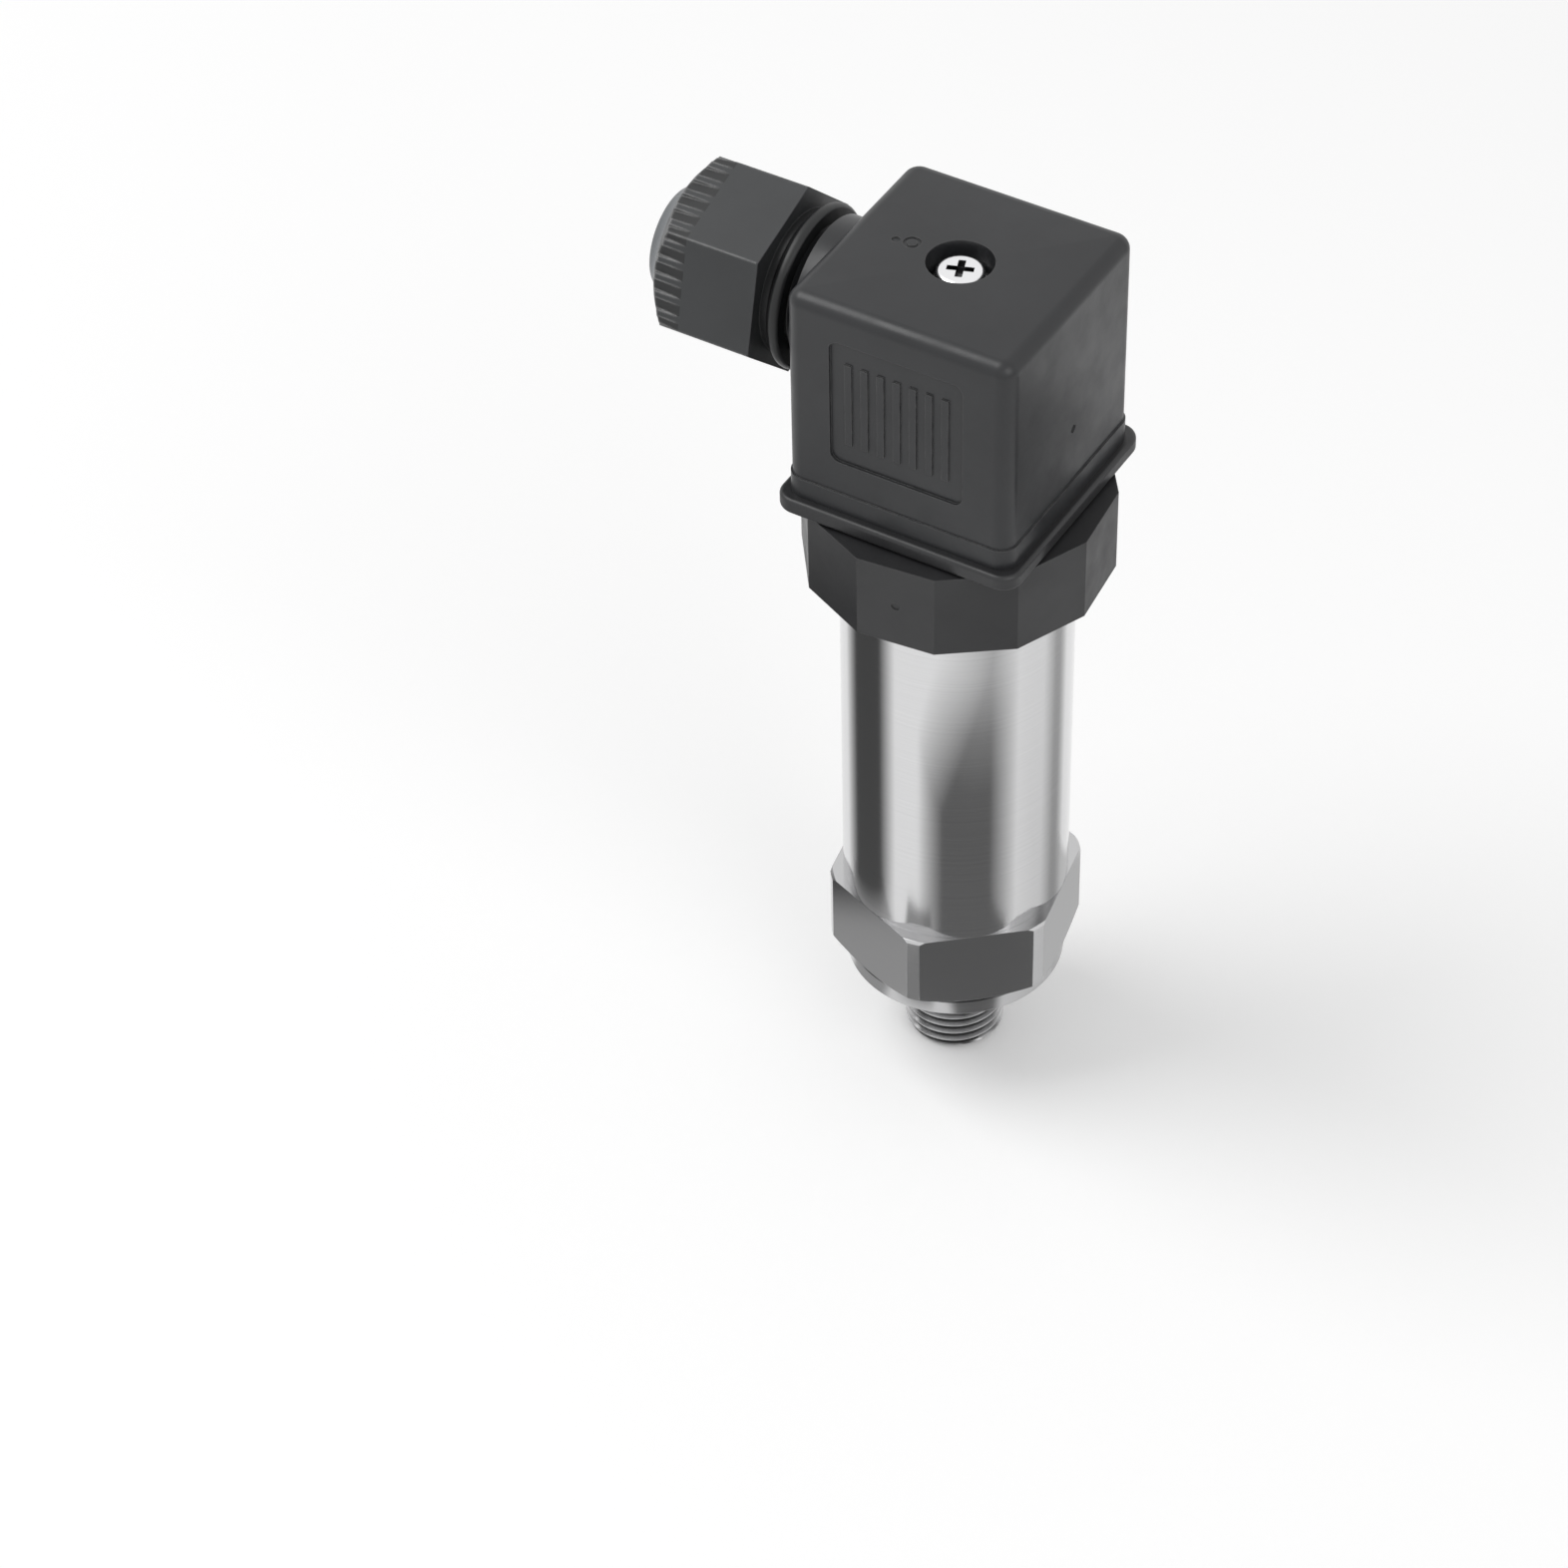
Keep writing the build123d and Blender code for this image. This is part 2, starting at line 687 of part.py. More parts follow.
# Plug housing: moulded square box with a skirt line, a recessed panel and a side cable outlet
with BuildPart() as plug_housing:
    with BuildSketch(Plane.XY.offset(plug_z0)):
        RectangleRounded(plug_w, plug_w, plug_corner_r)
    extrude(amount=plug_h)
    fillet(plug_housing.faces().sort_by(Axis.Z)[-1].edges(), plug_top_r)
    with BuildSketch(Plane.XY.offset(plug_z0)):
        skirt_w = plug_w + 2 * skirt_proud
        RectangleRounded(skirt_w, skirt_w, plug_corner_r + skirt_proud)
    extrude(amount=skirt_h)
    outlet_x0 = -plug_w / 2 - outlet_neck_length
    outlet_x1 = outlet_x0 - outlet_thread_length
    with BuildSketch(Plane.YZ.offset(-cavity_half)):
        with Locations((0, gland_axis_z)):
            Circle(outlet_neck_d / 2)
    extrude(amount=outlet_x0 + cavity_half)
    with BuildSketch(Plane.YZ.offset(outlet_x0)):
        with Locations((0, gland_axis_z)):
            Circle(outlet_thread_d / 2)
    extrude(amount=-outlet_thread_length)
    with BuildSketch(Plane.XY.offset(plug_z0)):
        RectangleRounded(2 * cavity_half, 2 * cavity_half, plug_corner_r / 2)
    extrude(amount=cavity_top - plug_z0, mode=Mode.SUBTRACT)
    with BuildSketch(Plane.XY.offset(boss_z0)):
        Circle(screw_boss_d / 2)
    extrude(amount=screw_boss_drop)
    with BuildSketch(Plane.XY.offset(plug_z1)):
        Circle(screw_hole_d / 2)
    extrude(amount=-screw_hole_depth, mode=Mode.SUBTRACT)
    with BuildSketch(Plane.XY.offset(plug_z1)):
        Circle(screw_d / 2 + screw_clearance)
    extrude(amount=-(plug_z1 - boss_z0), mode=Mode.SUBTRACT)
    with BuildSketch(Plane.YZ.offset(outlet_x1)):
        with Locations((0, gland_axis_z)):
            Circle(outlet_bore_d / 2)
    extrude(amount=-cavity_half - outlet_x1, mode=Mode.SUBTRACT)
    with BuildSketch(Plane.YZ.offset(outlet_x1)):
        with Locations((0, gland_axis_z)):
            Circle(gland_seal_d / 2 + gland_seal_clearance)
    extrude(amount=gland_seal_length, mode=Mode.SUBTRACT)
    panel_centre = (0, plug_z0 + panel_z)
    with BuildSketch(Plane.XZ.offset(plug_w / 2)):
        with Locations(panel_centre):
            RectangleRounded(panel_w, panel_w, panel_corner_r)
    extrude(amount=-panel_depth, mode=Mode.SUBTRACT)
    with BuildSketch(Plane.XZ.offset(plug_w / 2 - panel_depth)):
        with Locations(panel_centre):
            with GridLocations(panel_rib_pitch, 0, panel_rib_count, 1):
                Rectangle(panel_rib_w, panel_rib_h)
    extrude(amount=panel_rib_rise)
    with BuildSketch(Plane.XY.offset(plug_z1)):
        with Locations((dot_mark_x, 0)):
            Circle(mark_d / 2)
        with Locations((ring_mark_x, ring_mark_y)):
            Circle(ring_mark_d / 2)
            Circle(ring_mark_d / 2 - ring_mark_w, mode=Mode.SUBTRACT)
    extrude(amount=-mark_depth, mode=Mode.SUBTRACT)
    with BuildSketch(Plane.YZ.offset(plug_w / 2)):
        with Locations((side_mark_y, plug_z0 + side_mark_rise)):
            Circle(mark_d / 2)
    extrude(amount=-mark_depth, mode=Mode.SUBTRACT)
plug_housing.part.label = "plug_housing"
export_step(plug_housing.part, "parts/plug_housing.step")

# Terminal carrier: plate with four towers and a centre column, slotted for the blades
with BuildPart() as terminal_carrier:
    carrier_half = cavity_half - gasket_clearance
    with BuildSketch(Plane.XY.offset(carrier_z0)):
        RectangleRounded(2 * carrier_half, 2 * carrier_half, plug_corner_r / 2)
    extrude(amount=carrier_plate_t)
    with BuildSketch(Plane.XY.offset(carrier_z1)):
        for x, y, turn in blade_places():
            with Locations(Location((x, y, 0), (0, 0, turn))):
                Rectangle(tower_w, tower_t)
    extrude(amount=block_z0 - carrier_z1)
    with BuildSketch(Plane.XY.offset(carrier_z1)):
        Circle(carrier_column_d / 2)
    extrude(amount=boss_z0 - carrier_z1)
    clip_span = blade_t + 2 * clip_gap + 2 * clip_leaf_t
    with BuildSketch(Plane.XY.offset(carrier_z0)):
        for x, y, turn in blade_places():
            with Locations(Location((x, y, 0), (0, 0, turn))):
                Rectangle(blade_w + 2 * carrier_slot_clearance, clip_span + 2 * blade_slot_clearance)
    extrude(amount=block_z0 - carrier_z0, mode=Mode.SUBTRACT)
    with BuildSketch(Plane.XY.offset(carrier_z0)):
        Circle(pillar_d / 2 + carrier_slot_clearance)
    extrude(amount=pillar_rise + carrier_gap, mode=Mode.SUBTRACT)
    with BuildSketch(Plane.XY.offset(carrier_z0)):
        Circle(screw_d / 2 + screw_clearance)
    extrude(amount=boss_z0 - carrier_z0, mode=Mode.SUBTRACT)
terminal_carrier.part.label = "terminal_carrier"
export_step(terminal_carrier.part, "parts/terminal_carrier.step")

# Spring contacts: two leaves that grip a blade, under a block for the wire
with BuildPart() as socket_contacts:
    for x, y, turn in blade_places():
        leaf_offset = blade_t / 2 + clip_gap + clip_leaf_t / 2
        with BuildSketch(Plane.XY.offset(carrier_z0 + carrier_gap)):
            with Locations(Location((x, y, 0), (0, 0, turn))):
                with Locations((0, leaf_offset), (0, -leaf_offset)):
                    Rectangle(blade_w, clip_leaf_t)
        extrude(amount=block_z0 - carrier_z0 - carrier_gap)
        with BuildSketch(Plane.XY.offset(block_z0)):
            with Locations(Location((x, y, 0), (0, 0, turn))):
                Rectangle(blade_w, clip_block_t)
        extrude(amount=clip_block_h)
socket_contacts.part.label = "socket_contacts"
export_step(socket_contacts.part, "parts/socket_contacts.step")

# Slotted terminal screws, one on each contact block
with BuildPart() as terminal_screws:
    with BuildSketch(Plane.XY.offset(block_z1)):
        for x, y, turn in blade_places():
            with Locations((x, y)):
                Circle(terminal_head_d / 2)
    extrude(amount=terminal_head_t)
    with BuildSketch(Plane.XY.offset(block_z1 + terminal_head_t)):
        for x, y, turn in blade_places():
            with Locations((x, y)):
                Rectangle(terminal_head_d + cutter_over, terminal_slot_w, rotation=turn + terminal_slot_turn)
    extrude(amount=-terminal_slot_depth, mode=Mode.SUBTRACT)
terminal_screws.part.label = "terminal_screws"
export_step(terminal_screws.part, "parts/terminal_screws.step")

# Washer under the head of the central screw
with BuildPart() as screw_washer:
    with BuildSketch(Plane.XY.offset(screw_seat_z - screw_washer_t)):
        Circle(screw_washer_d / 2)
        Circle(screw_d / 2 + screw_clearance, mode=Mode.SUBTRACT)
    extrude(amount=screw_washer_t)
screw_washer.part.label = "screw_washer"
export_step(screw_washer.part, "parts/screw_washer.step")

# Central screw: domed cylinder head with a cross and slot recess, plain shank for its thread
with BuildPart() as plug_screw:
    with BuildSketch(Plane.XY.offset(screw_seat_z)):
        Circle(screw_head_d / 2)
    extrude(amount=screw_head_t)
    fillet(plug_screw.faces().sort_by(Axis.Z)[-1].edges(), screw_head_r)
    with BuildSketch(Plane.XY.offset(screw_seat_z + screw_head_t)):
        Rectangle(recess_span, recess_w, rotation=recess_turn)
        Rectangle(recess_w, recess_span, rotation=recess_turn)
    extrude(amount=-recess_depth, mode=Mode.SUBTRACT)
    with BuildSketch(Plane.XY.offset(screw_seat_z)):
        Circle(screw_d / 2)
    extrude(amount=-screw_length)
    chamfer(plug_screw.faces().sort_by(Axis.Z)[0].edges(), screw_tip_chamfer)
plug_screw.part.label = "plug_screw"
export_step(plug_screw.part, "parts/plug_screw.step")

# Rubber cable seal in the outlet's mouth
with BuildPart() as gland_seal:
    seal_x0 = outlet_x1 + gland_seal_length
    seal_x1 = outlet_x1 - gland_seal_proud
    with BuildSketch(Plane.YZ.offset(seal_x0)):
        with Locations((0, gland_axis_z)):
            Circle(gland_seal_d / 2)
            Circle(cable_bore_d / 2, mode=Mode.SUBTRACT)
    extrude(amount=seal_x1 - seal_x0)
gland_seal.part.label = "gland_seal"
export_step(gland_seal.part, "parts/gland_seal.step")

# Slip ring between the seal and the gland nut
with BuildPart() as gland_slip_ring:
    with BuildSketch(Plane.YZ.offset(seal_x1)):
        with Locations((0, gland_axis_z)):
            Circle(slip_ring_d / 2)
            Circle(slip_ring_bore_d / 2, mode=Mode.SUBTRACT)
    extrude(amount=-slip_ring_t)
gland_slip_ring.part.label = "gland_slip_ring"
export_step(gland_slip_ring.part, "parts/gland_slip_ring.step")

# Gland nut: hexagon with a collar behind and a domed nose; each flat falls to the nose between ribs
with BuildPart() as gland_nut:
    nut_back_x = -plug_w / 2 - gland_nut_back
    nut_front_x = nut_back_x - gland_nut_hex_t
    grip_x = nut_front_x + grip_length
    dome_x = nut_front_x - nose_length
    gland_axis = Axis((0, 0, gland_axis_z), (1, 0, 0))
    with BuildSketch(Plane.YZ.offset(nut_back_x)):
        with Locations((0, gland_axis_z)):
            RegularPolygon(gland_nut_corner_r, 6, rotation=gland_nut_turn)
    extrude(amount=grip_x - nut_back_x)
    with BuildSketch(Plane.YZ.offset(grip_x)):
        with Locations((0, gland_axis_z)):
            RegularPolygon(gland_nut_corner_r, 6, rotation=gland_nut_turn)
    with BuildSketch(Plane.YZ.offset(dome_x)):
        with Locations((0, gland_axis_z)):
            RegularPolygon(gland_nut_corner_r - grip_fall, 6, rotation=gland_nut_turn)
    loft()
    for face in range(6):
        normal_angle = radians(gland_nut_turn + 30 + 60 * face)
        normal = Vector(0, cos(normal_angle), sin(normal_angle))
        apothem = gland_nut_corner_r * cos(radians(30))
        middle = normal * apothem + Vector((grip_x + dome_x) / 2, 0, gland_axis_z)
        with BuildSketch(Plane(origin=middle, x_dir=(1, 0, 0), z_dir=normal)):
            with GridLocations(0, grip_rib_pitch, 1, grip_rib_count):
                Rectangle(grip_x - dome_x, grip_rib_w)
        extrude(amount=-grip_rib_h)
    corner_z = gland_axis_z + gland_nut_corner_r
    with BuildSketch(Plane.XZ):
        with BuildLine():
            cone_start = (nut_front_x, corner_z)
            base_point = (nut_front_x - nose_cone_length, gland_axis_z + dome_base_d / 2)
            end_point = (dome_x, gland_axis_z + dome_end_d / 2)
            Polyline(
                end_point,
                (dome_x, gland_axis_z),
                (nut_back_x, gland_axis_z),
                (nut_back_x, corner_z),
                cone_start,
                base_point,
            )
            RadiusArc(base_point, end_point, dome_r)
        make_face()
    revolve(axis=gland_axis, mode=Mode.INTERSECT)
    with BuildSketch(Plane.YZ.offset(nut_back_x + gland_nut_collar_t)):
        with Locations((0, gland_axis_z)):
            Circle(gland_nut_collar_d / 2)
    extrude(amount=-gland_nut_collar_t)
    bore_r = outlet_thread_d / 2 + gland_nut_clearance
    ring_x1 = seal_x1 - slip_ring_t
    with BuildSketch(Plane.XZ):
        with BuildLine():
            Polyline(
                (nut_back_x + gland_nut_collar_t, gland_axis_z),
                (nut_back_x + gland_nut_collar_t, gland_axis_z + bore_r),
                (ring_x1, gland_axis_z + bore_r),
                (ring_x1, gland_axis_z + gland_throat_d / 2),
                (dome_x + gland_lip, gland_axis_z + gland_mouth_d / 2),
                (dome_x, gland_axis_z + gland_mouth_d / 2 + gland_mouth_chamfer),
                (dome_x, gland_axis_z),
                close=True,
            )
        make_face()
    revolve(axis=gland_axis, mode=Mode.SUBTRACT)
gland_nut.part.label = "gland_nut"
export_step(gland_nut.part, "parts/gland_nut.step")
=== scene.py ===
import math
import bmesh
import bpy
from mathutils import Matrix, Vector


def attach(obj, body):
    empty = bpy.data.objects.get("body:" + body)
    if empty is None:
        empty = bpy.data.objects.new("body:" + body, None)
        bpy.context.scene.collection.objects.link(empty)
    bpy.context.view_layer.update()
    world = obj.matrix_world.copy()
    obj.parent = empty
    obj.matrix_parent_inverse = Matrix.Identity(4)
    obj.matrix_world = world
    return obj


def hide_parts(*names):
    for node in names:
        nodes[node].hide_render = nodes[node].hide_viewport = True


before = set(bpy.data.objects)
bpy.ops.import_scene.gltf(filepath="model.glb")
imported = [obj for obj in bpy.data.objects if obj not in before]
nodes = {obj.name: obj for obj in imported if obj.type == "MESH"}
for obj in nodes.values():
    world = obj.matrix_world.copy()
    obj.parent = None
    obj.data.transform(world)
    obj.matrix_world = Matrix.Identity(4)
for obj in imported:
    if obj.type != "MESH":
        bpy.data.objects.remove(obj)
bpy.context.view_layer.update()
MM = 0.001

# Nearly all of a noise's values lie between these two
NOISE_LOW, NOISE_HIGH = 0.3, 0.7

# Levels of the part that the looks need, in millimetres
GLAND_AXIS_Z = 92.5
GLAND_NOSE_X = -33.4
GLAND_COLLAR_X = -20.5
PROCESS_THREAD_Z = (-15.0, -2.5)
SCREW_RECESS_Z = (100.4, 101.85)


# Shader building

class Shader:
    """A material with a Principled shader, built node by node."""

    def __init__(self, name, metallic, roughness):
        self.material = bpy.data.materials.new(name)
        self.material.use_nodes = True
        self.tree = self.material.node_tree
        self.tree.nodes.clear()
        self.output = self.add("ShaderNodeOutputMaterial")
        self.bsdf = self.add("ShaderNodeBsdfPrincipled")
        self.bsdf.inputs["Metallic"].default_value = metallic
        self.bsdf.inputs["Roughness"].default_value = roughness
        self.link(self.bsdf.outputs[0], self.output.inputs["Surface"])
        self.place = self.add("ShaderNodeTexCoord").outputs["Object"]

    def add(self, kind, **settings):
        node = self.tree.nodes.new(kind)
        for key, value in settings.items():
            setattr(node, key, value)
        return node

    def link(self, a, b):
        self.tree.links.new(a, b)

    def apart(self, vector):
        """The outputs X, Y and Z of a vector."""
        node = self.add("ShaderNodeSeparateXYZ")
        self.link(vector, node.inputs[0])
        return node.outputs

    def scaled(self, scale, turn=(0.0, 0.0, 0.0)):
        """The object's own coordinates, stretched, so that a noise turns into lines."""
        mapping = self.add("ShaderNodeMapping")
        mapping.inputs["Scale"].default_value = scale
        mapping.inputs["Rotation"].default_value = turn
        self.link(self.place, mapping.inputs["Vector"])
        return mapping.outputs[0]

    def noise(self, vector, scale, detail=3.0, rough=0.55):
        node = self.add("ShaderNodeTexNoise")
        node.inputs["Scale"].default_value = scale
        node.inputs["Detail"].default_value = detail
        node.inputs["Roughness"].default_value = rough
        self.link(vector, node.inputs["Vector"])
        return node.outputs["Fac"]

    def spread(self, value, low, high, from_low=NOISE_LOW, from_high=NOISE_HIGH):
        """Runs from low to high while the value runs from from_low to from_high."""
        node = self.add("ShaderNodeMapRange")
        node.inputs["From Min"].default_value = from_low
        node.inputs["From Max"].default_value = from_high
        node.inputs["To Min"].default_value = low
        node.inputs["To Max"].default_value = high
        self.link(value, node.inputs["Value"])
        return node.outputs["Result"]

    def times(self, a, b):
        node = self.add("ShaderNodeMath", operation="MULTIPLY")
        self.link(a, node.inputs[0])
        self.link(b, node.inputs[1])
        return node.outputs[0]

    def times_plus(self, value, factor, more):
        """The value times a plain number, plus another value."""
        node = self.add("ShaderNodeMath", operation="MULTIPLY_ADD")
        self.link(value, node.inputs[0])
        node.inputs[1].default_value = factor
        self.link(more, node.inputs[2])
        return node.outputs[0]

    def colours(self, value, low, high):
        """Base colour that runs from low to high with a noise."""
        node = self.add("ShaderNodeValToRGB")
        for stop, place, colour in zip(node.color_ramp.elements, (NOISE_LOW, NOISE_HIGH), (low, high)):
            stop.position = place
            stop.color = (*colour, 1)
        self.link(value, node.inputs["Fac"])
        self.link(node.outputs["Color"], self.bsdf.inputs["Base Color"])
        return node.outputs["Color"]

    def toned(self, share, colour, other):
        """Base colour that turns into another one where the share is 1."""
        mix = self.add("ShaderNodeMix", data_type="RGBA")
        self.link(share, mix.inputs["Factor"])
        self.link(colour, mix.inputs["A"])
        mix.inputs["B"].default_value = (*other, 1)
        self.link(mix.outputs["Result"], self.bsdf.inputs["Base Color"])
        return mix.outputs["Result"]

    def wear_and_highlight_edges(self, colour, wear_and_highlight, width, least, where):
        """Lightens sharp edges, where a rounded normal leaves the real one: rubbed wear and a painted
        highlight. where masks them, or is None.
        """
        rounded = self.add("ShaderNodeBevel", samples=4)
        rounded.inputs["Radius"].default_value = width
        dot = self.add("ShaderNodeVectorMath", operation="DOT_PRODUCT")
        self.link(rounded.outputs[0], dot.inputs[0])
        self.link(self.add("ShaderNodeNewGeometry").outputs["Normal"], dot.inputs[1])
        edge = self.spread(dot.outputs["Value"], 1.0, 0.0, 0.9, 0.99)
        patchy = self.times(edge, self.spread(self.noise(self.place, 700.0), least, 1.0))
        if where is not None:
            patchy = self.times(patchy, where)
        self.toned(patchy, colour, (wear_and_highlight, wear_and_highlight, wear_and_highlight))

    def relief(self, heights, edge=0.0):
        """Bumps one on another, as (value, strength, depth), over softly broken edges."""
        normal = None
        if edge:
            bevel = self.add("ShaderNodeBevel", samples=4)
            bevel.inputs["Radius"].default_value = edge
            normal = bevel.outputs[0]
        for value, strength, depth in heights:
            bump = self.add("ShaderNodeBump")
            bump.inputs["Strength"].default_value = strength
            bump.inputs["Distance"].default_value = depth
            self.link(value, bump.inputs["Height"])
            if normal:
                self.link(normal, bump.inputs["Normal"])
            normal = bump.outputs[0]
        self.link(normal, self.bsdf.inputs["Normal"])


def tinted(colour, factor):
    return tuple(min(1.0, c * factor) for c in colour)


# Materials

def gland_zones(s, colour, shade, gloss):
    """Makes the gland's nose paler and smoother, and paints shade into its grooves and onto its collar by
    darkening them.

    Returns the colour, the gloss and where edges are lightened by wear and painted highlight: not on the
    collar.
    """
    nose_x, collar_x = GLAND_NOSE_X * MM, GLAND_COLLAR_X * MM
    nose_gain, nose_tint, painted_shade_tint = -0.16, 5.2, 0.3
    x = s.apart(s.place)["X"]
    nose = s.spread(x, 1.0, 0.0, nose_x - 0.5 * MM, nose_x)
    gloss = s.times_plus(nose, nose_gain, gloss)
    shade = s.toned(nose, shade, tinted(colour, nose_tint))
    # Painted shade: the groove floors between the ribs are darkened
    recess_shade = s.add("ShaderNodeAttribute", attribute_name="recess_shade").outputs["Fac"]
    shade = s.toned(recess_shade, shade, tinted(colour, painted_shade_tint))
    # Painted shade: the collar behind the hexagon is darkened
    collar = s.spread(x, 0.0, 1.0, collar_x, collar_x + 0.1 * MM)
    shade = s.toned(collar, shade, tinted(colour, painted_shade_tint))
    return shade, gloss, s.spread(x, 1.0, 0.0, collar_x - 0.25 * MM, collar_x - 0.15 * MM)


def moulded(name, colour, roughness, grain, depth, edge=0.12 * MM, wear_and_highlight=0.0, patchy=0.15, zones=None):
    """Moulded plastic: fine spark-eroded grain, faint flow variation, uneven gloss, and edges lightened by
    rubbing and by a painted highlight.

    zones is a function that changes some stretches, or None.
    """
    s = Shader(name, 0.0, roughness)
    s.bsdf.inputs["Specular IOR Level"].default_value = 0.45
    flow = s.noise(s.place, 90.0, 4.0)
    shade = s.colours(flow, tinted(colour, 0.86), tinted(colour, 1.14))
    gloss = s.spread(s.noise(s.place, 260.0), roughness - 0.06, roughness + 0.06)
    where = None
    if zones:
        shade, gloss, where = zones(s, colour, shade, gloss)
    if wear_and_highlight:
        s.wear_and_highlight_edges(shade, wear_and_highlight, 2 * edge, patchy, where)
    s.link(gloss, s.bsdf.inputs["Roughness"])
    s.relief([(s.noise(s.place, grain, 2.0), 0.35, depth), (flow, 0.1, 0.05 * MM)], edge)
    return s.material


def turned(name, colour, roughness, lines, depth, edge, aniso=0.0, hollow_shade=None):
    """Turned or polished metal: fine rings round the Z axis.

    The last argument paints shade into hollows inside a radius and between two levels: (radius where that is
    full, radius where it ends, (bottom, top), what is left of the colour).
    """
    s = Shader(name, 1.0, roughness)
    rings = s.noise(s.scaled((3.0, 3.0, lines)), 1.0, 4.0, 0.7)
    shade = s.colours(rings, tinted(colour, 0.93), tinted(colour, 1.05))
    # Painted shade in the hollows: darker inside the radius and between the two levels
    if hollow_shade:
        full, end, (bottom, top), left = hollow_shade
        radius = s.add("ShaderNodeVectorMath", operation="LENGTH")
        s.link(s.scaled((1, 1, 0)), radius.inputs[0])
        deep = s.spread(radius.outputs["Value"], 1.0, 0.0, full * MM, end * MM)
        z = s.apart(s.place)["Z"]
        below = s.spread(z, 1.0, 0.0, (top - 0.1) * MM, top * MM)
        above = s.spread(z, 0.0, 1.0, (bottom - 0.1) * MM, bottom * MM)
        s.toned(s.times(s.times(deep, below), above), shade, tinted(colour, left))
    s.link(s.spread(rings, roughness - 0.03, roughness + 0.03), s.bsdf.inputs["Roughness"])
    s.relief([(rings, 0.25, depth)], edge)
    if aniso:
        s.bsdf.inputs["Anisotropic"].default_value = aniso
        tangent = s.add("ShaderNodeTangent", direction_type="RADIAL", axis="Z")
        s.link(tangent.outputs[0], s.bsdf.inputs["Tangent"])
    return s.material


def rubbery(name, colour):
    """Soft matt rubber with a fine grain."""
    s = Shader(name, 0.0, 0.75)
    cloud = s.noise(s.place, 300.0)
    s.colours(cloud, tinted(colour, 0.85), tinted(colour, 1.2))
    s.relief([(s.noise(s.place, 3500.0), 0.3, 0.01 * MM)])
    return s.material


def circuit_lacquer(name, colour):
    """Green lacquer over fine square tracks."""
    s = Shader(name, 0.0, 0.35)
    brick = s.add("ShaderNodeTexBrick")
    brick.inputs["Scale"].default_value = 500.0
    brick.inputs["Mortar Size"].default_value = 0.04
    brick.inputs["Color1"].default_value = (*colour, 1)
    brick.inputs["Color2"].default_value = (*tinted(colour, 1.35), 1)
    brick.inputs["Mortar"].default_value = (*tinted(colour, 0.6), 1)
    s.link(s.scaled((1, 1, 1), (math.pi / 2, 0, 0)), brick.inputs["Vector"])
    s.link(brick.outputs["Color"], s.bsdf.inputs["Base Color"])
    s.relief([(brick.outputs["Fac"], 0.2, 0.02 * MM)])
    return s.material


# Metals: colour, roughness, rings per metre, their depth, broken edge
tube_steel = turned("polished_tube", (0.68, 0.68, 0.685), 0.12, 2600.0, 0.0012 * MM, 0.1 * MM, aniso=0.3)
# The fitting's thread roots get painted shade
fitting_steel = turned("machined_fitting", (0.56, 0.56, 0.565), 0.17, 4200.0, 0.003 * MM, 0.12 * MM,
                       aniso=0.2, hollow_shade=(5.4, 5.97, PROCESS_THREAD_Z, 0.12))
inner_steel = turned("inner_steel", (0.5, 0.5, 0.5), 0.35, 3000.0, 0.01 * MM, 0.1 * MM)
spring_steel = turned("spring_steel", (0.28, 0.28, 0.29), 0.35, 3000.0, 0.01 * MM, 0.1 * MM)
zinc = turned("bright_zinc", (0.82, 0.82, 0.83), 0.22, 1500.0, 0.01 * MM, 0.12 * MM)
# The screw head's drive recess gets painted shade
screw_zinc = turned("screw_zinc", (0.82, 0.82, 0.83), 0.2, 1500.0, 0.01 * MM, 0.12 * MM,
                    hollow_shade=(1.8, 1.9, SCREW_RECESS_Z, 0.1))
tinned = turned("tinned_contact", (0.72, 0.7, 0.64), 0.3, 1800.0, 0.008 * MM, 0.08 * MM)
brass = turned("turned_brass", (0.72, 0.52, 0.24), 0.3, 3000.0, 0.01 * MM, 0.08 * MM)

# Plastics: colour, roughness, grain, its depth
housing_plastic = moulded("housing_plastic", (0.0175, 0.0182, 0.02), 0.36, 5200.0, 0.012 * MM, wear_and_highlight=0.07)
nut_plastic = moulded("nut_plastic", (0.021, 0.0212, 0.0225), 0.4, 4200.0, 0.01 * MM, wear_and_highlight=0.06)
# The gland's edges are lightened strongly: mostly a painted highlight along its corners and ribs, partly wear
gland_plastic = moulded("gland_plastic", (0.029, 0.0308, 0.0325), 0.42, 6200.0, 0.014 * MM,
                        edge=0.2 * MM, wear_and_highlight=0.3, patchy=0.5, zones=gland_zones)
carrier_plastic = moulded("carrier_plastic", (0.055, 0.055, 0.06), 0.45, 4200.0, 0.01 * MM)
component_case = moulded("component_case", (0.04, 0.04, 0.05), 0.4, 5200.0, 0.008 * MM)
wire_jacket = moulded("wire_jacket", (0.42, 0.03, 0.03), 0.4, 3000.0, 0.005 * MM)
seal_rubber = rubbery("seal_rubber", (0.02, 0.02, 0.021))
gasket_rubber = rubbery("gasket_rubber", (0.035, 0.035, 0.036))
lacquer = circuit_lacquer("board_lacquer", (0.03, 0.15, 0.06))

